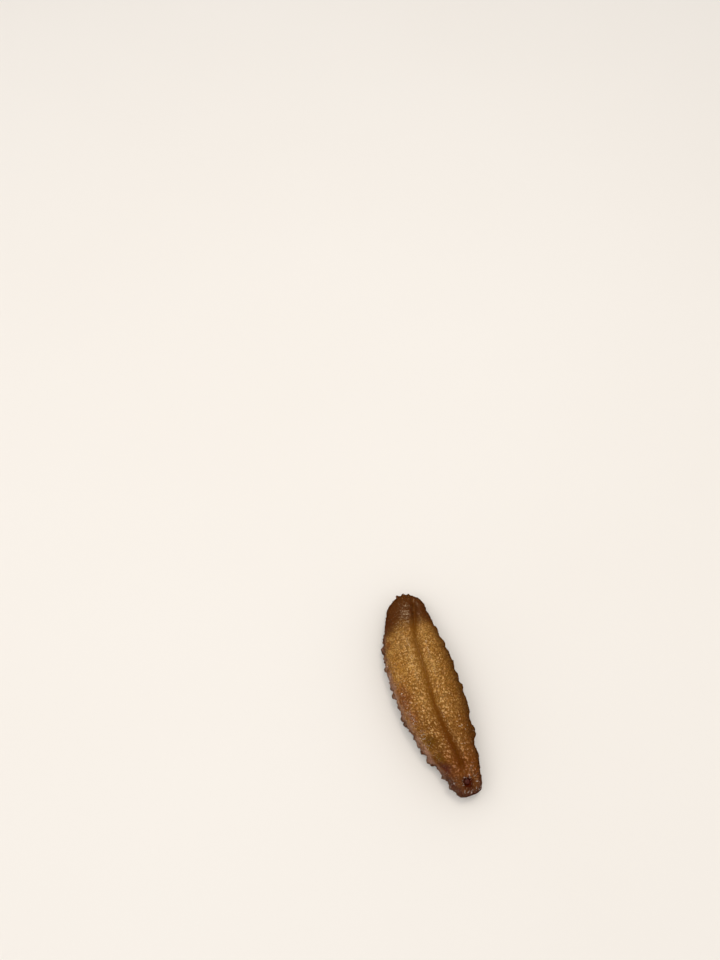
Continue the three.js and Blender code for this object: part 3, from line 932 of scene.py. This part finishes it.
def mouth_material():
    n = Nodes("mouth_flesh")
    return n.finish(
        Base_Color=n.mix(n.noise(1500, 3), TENTACLE_DARK, TENTACLE_PALE),
        Roughness=n.ramp(n.noise(2500, 2), 0.3, 0.7, 0.3, 0.5),
        Specular_IOR_Level=0.25,
        Subsurface_Weight=0.2,
        Subsurface_Radius=(1.0, 0.3, 0.15),
        Subsurface_Scale=0.0008,
    )


def floor_material():
    n = Nodes("pale_floor")
    tone = n.mix(n.noise(6, 2), FLOOR_DARK, FLOOR_PALE)
    return n.finish(Base_Color=tone, Roughness=0.9, Specular_IOR_Level=0.0)


def piece(name, mesh, material, nodes):
    made = bpy.data.objects.new(name, mesh)
    bpy.context.scene.collection.objects.link(made)
    mesh.materials.append(material)
    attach(made, "root")
    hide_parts(*nodes)


# The camera stands where the photograph's stood and takes the same frame. Its place is given in
# millimetres in the trunk's own frame, and its pitch is how far it looks down.
CAMERA_AT = (42.07, -35.57, 258.25)
CAMERA_PITCH = 63
CAMERA_HEADING = 163.9
CAMERA_LENS = 28.1
SENSOR = 36


def make_camera(shift):
    data = bpy.data.cameras.new("camera")
    data.sensor_fit = "VERTICAL"
    data.sensor_height = SENSOR
    data.lens = CAMERA_LENS
    data.clip_start = 0.01
    camera = bpy.data.objects.new("camera", data)
    camera.location = Vector(np.array(CAMERA_AT) + shift) * MM
    camera.rotation_euler = (math.radians(90 - CAMERA_PITCH), 0, math.radians(CAMERA_HEADING - 90))
    bpy.context.scene.collection.objects.link(camera)
    bpy.context.scene.camera = camera


# Lights: place and side in metres, watts and colour. All of them look at the animal. The lamps light
# the scene. The wet skin mirrors only the glints, and neither the lamps nor the room and the floor,
# because those lay a grey film over it.
LAMPS = {
    "key": ((-0.12, 0.1, 0.7), 0.16, 0.9, (1.0, 0.92, 0.8)),
    "soft": ((-0.1, -0.3, 0.8), 0.8, 2.2, (1.0, 0.96, 0.91)),
}
GLINTS = {
    "shine": ((-0.36, 0.06, 0.62), 0.16, 1.1, (1.0, 0.76, 0.46)),
    "window": ((0.42, 0.24, 0.1), 0.14, 1.6, (1.0, 0.95, 0.88)),
    "gleam": ((0.05, -0.45, 0.05), 0.08, 0.28, (1.0, 0.92, 0.8)),
}
WORLD_COLOUR = (1.0, 0.98, 0.96, 1)
WORLD_LIGHT = 0.7
FLOOR_SIDE = 6.0


def make_light(name, look, mirrored):
    place, side, power, colour = look
    data = bpy.data.lights.new(name, "AREA")
    data.size = side
    data.energy = power
    data.color = colour
    light = bpy.data.objects.new(name, data)
    light.location = place
    light.rotation_euler = (-Vector(place)).to_track_quat("-Z", "Y").to_euler()
    light.visible_diffuse = not mirrored
    light.visible_glossy = mirrored
    bpy.context.scene.collection.objects.link(light)


def make_world():
    world = bpy.data.worlds.new("studio")
    world.use_nodes = True
    background = world.node_tree.nodes["Background"]
    background.inputs["Color"].default_value = WORLD_COLOUR
    background.inputs["Strength"].default_value = WORLD_LIGHT
    world.cycles_visibility.glossy = False
    bpy.context.scene.world = world


def make_floor():
    mesh = bpy.data.meshes.new("floor")
    half = FLOOR_SIDE / 2
    corners = [(-half, -half, 0), (half, -half, 0), (half, half, 0), (-half, half, 0)]
    mesh.from_pydata(corners, [], [(0, 1, 2, 3)])
    floor = bpy.data.objects.new("floor", mesh)
    mesh.materials.append(floor_material())
    bpy.context.scene.collection.objects.link(floor)
    floor.visible_glossy = False


bpy.context.scene.view_settings.view_transform = "Standard"
shift = centre_shift()
make_camera(shift)
for name, look in LAMPS.items():
    make_light(name, look, mirrored=False)
for name, look in GLINTS.items():
    make_light(name, look, mirrored=True)
make_world()
make_floor()
points, masks = skin_surface()
piece("skin", skin_mesh(points + shift, masks), skin_material(), FLESH)
piece("tentacles", make_tentacles(shift), mouth_material(), ("tentacle_ring",))

bpy.context.view_layer.update()
